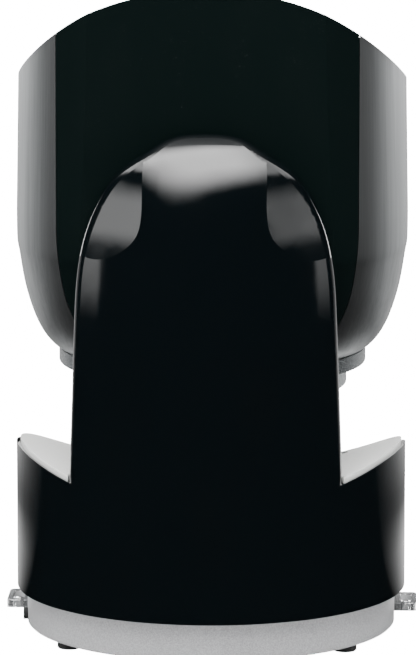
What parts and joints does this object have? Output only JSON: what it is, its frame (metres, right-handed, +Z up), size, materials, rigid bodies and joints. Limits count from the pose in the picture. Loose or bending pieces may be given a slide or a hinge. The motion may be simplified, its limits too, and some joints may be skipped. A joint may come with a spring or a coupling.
{
  "type": "electric can opener",
  "caption": "Stand-type electric can opener: round base with can seat and side clamps, arched black column, and a domed head that slides on it with a turning cutter turret.",
  "frame": {"origin": "centre of the round base at the level of the undersides of the feet", "axes": "+Z up, -Y the side the user faces, +X to the right seen from the front"},
  "size_m": [0.202, 0.19, 0.3206],
  "materials": {
    "black_gloss": "gloss",
    "black_satin": "satin",
    "silver_sparkle": "satin metallic",
    "silver_satin": "satin metallic",
    "warm_grey": "satin",
    "collar_grey": "satin",
    "collar_dark": "satin",
    "steel_brushed": "brushed",
    "steel_plain": "plain",
    "alloy": "cast",
    "bronze": "sintered",
    "rubber": "matte",
    "clear_plastic": "clear",
    "white_plastic": "satin",
    "board_green": "satin"
  },
  "bodies": {
    "stand": {"rear_housing": "black_gloss", "column_cover": "black_satin", "base_plate": "black_satin", "base_ring": "silver_sparkle", "base_deck": "warm_grey", "can_seat": "steel_brushed", "rubber_feet": "rubber", "ballast_plate": "steel_plain", "slide_rods": "steel_plain", "lower_rod_bracket": "black_satin", "upper_rod_clips": "black_satin", "stop_collars": "steel_plain", "stop_bumpers": "rubber", "clamp_track": "white_plastic", "pinion_pin": "steel_plain", "clamp_spring": "steel_plain", "cord_gland": "rubber", "base_screws": "steel_plain", "cover_screws": "steel_plain"},
    "left_clamp_body": {"left_clamp": "white_plastic", "left_post": "collar_dark", "left_tab": "clear_plastic", "left_pad": "rubber"},
    "right_clamp_body": {"right_clamp": "white_plastic", "right_post": "collar_dark", "right_tab": "clear_plastic", "right_pad": "rubber"},
    "pinion_body": {"clamp_pinion": "white_plastic"},
    "head": {"head_band": "black_gloss", "left_wing": "silver_satin", "right_wing": "silver_satin", "head_floor": "black_satin", "bearing_collar": "collar_grey", "head_chassis": "alloy", "slide_carriage": "alloy", "rod_bushes": "bronze", "neck_screws": "steel_plain", "turret_bush": "bronze", "motor_bridge": "steel_plain", "gearbox": "alloy", "motor": "steel_plain", "control_board": "board_green", "button_bezel": "silver_satin", "button_switch": "black_satin"},
    "button_body": {"start_button": "black_gloss"},
    "motor_pinion_body": {"drive_pinion": "steel_plain"},
    "turret": {"turret_drum": "collar_dark", "turret_shaft": "steel_plain", "turret_gear": "white_plastic", "cutter_guides": "white_plastic", "roller_pin": "steel_plain", "lid_magnet": "steel_plain"},
    "cutter_slide_body": {"cutter_carriage": "alloy"},
    "cutter_body": {"cutter_wheel": "steel_brushed"},
    "roller_body": {"rim_roller": "steel_brushed"}
  },
  "joints": [
    {"name": "head_lift", "type": "slide", "parent": "stand", "child": "head", "axis": [0, 0, 1], "range_m": [0, 0.09]},
    {"name": "left_clamp_slide", "type": "slide", "parent": "stand", "child": "left_clamp_body", "axis": [-1, 0, 0], "range_m": [0, 0.027], "stiffness_N_per_m": 150, "springref_m": -0.01},
    {"name": "right_clamp_slide", "type": "slide", "parent": "stand", "child": "right_clamp_body", "axis": [1, 0, 0], "range_m": [0, 0.027]},
    {"name": "clamp_pinion_turn", "type": "hinge", "parent": "stand", "child": "pinion_body", "pos_m": [0, -0.016, 0.015], "axis": [0, 0, 1], "range_deg": [0, 130]},
    {"name": "start_button_press", "type": "slide", "parent": "head", "child": "button_body", "axis": [0, 1, 0], "range_m": [0, 0.003], "stiffness_N_per_m": 400, "springref_m": -0.002},
    {"name": "turret_spin", "type": "hinge", "parent": "head", "child": "turret", "pos_m": [0, -0.016, 0.13], "axis": [0, 0, 1], "continuous": true},
    {"name": "motor_pinion_spin", "type": "hinge", "parent": "head", "child": "motor_pinion_body", "pos_m": [0, -0.066, 0.155], "axis": [0, 0, 1], "continuous": true},
    {"name": "cutter_feed", "type": "slide", "parent": "turret", "child": "cutter_slide_body", "axis": [-1, 0, 0], "range_m": [0, 0.012]},
    {"name": "cutter_spin", "type": "hinge", "parent": "cutter_slide_body", "child": "cutter_body", "pos_m": [0.046, -0.016, 0.11], "axis": [0, 0, 1], "continuous": true},
    {"name": "roller_spin", "type": "hinge", "parent": "turret", "child": "roller_body", "pos_m": [-0.038, -0.016, 0.11], "axis": [0, 0, 1], "continuous": true}
  ],
  "couplings": [
    {"joint": "right_clamp_slide", "follows": "left_clamp_slide", "ratio": 1},
    {"joint": "clamp_pinion_turn", "follows": "left_clamp_slide", "rad_per_m": 83.333},
    {"joint": "motor_pinion_spin", "follows": "turret_spin", "ratio": -4}
  ]
}
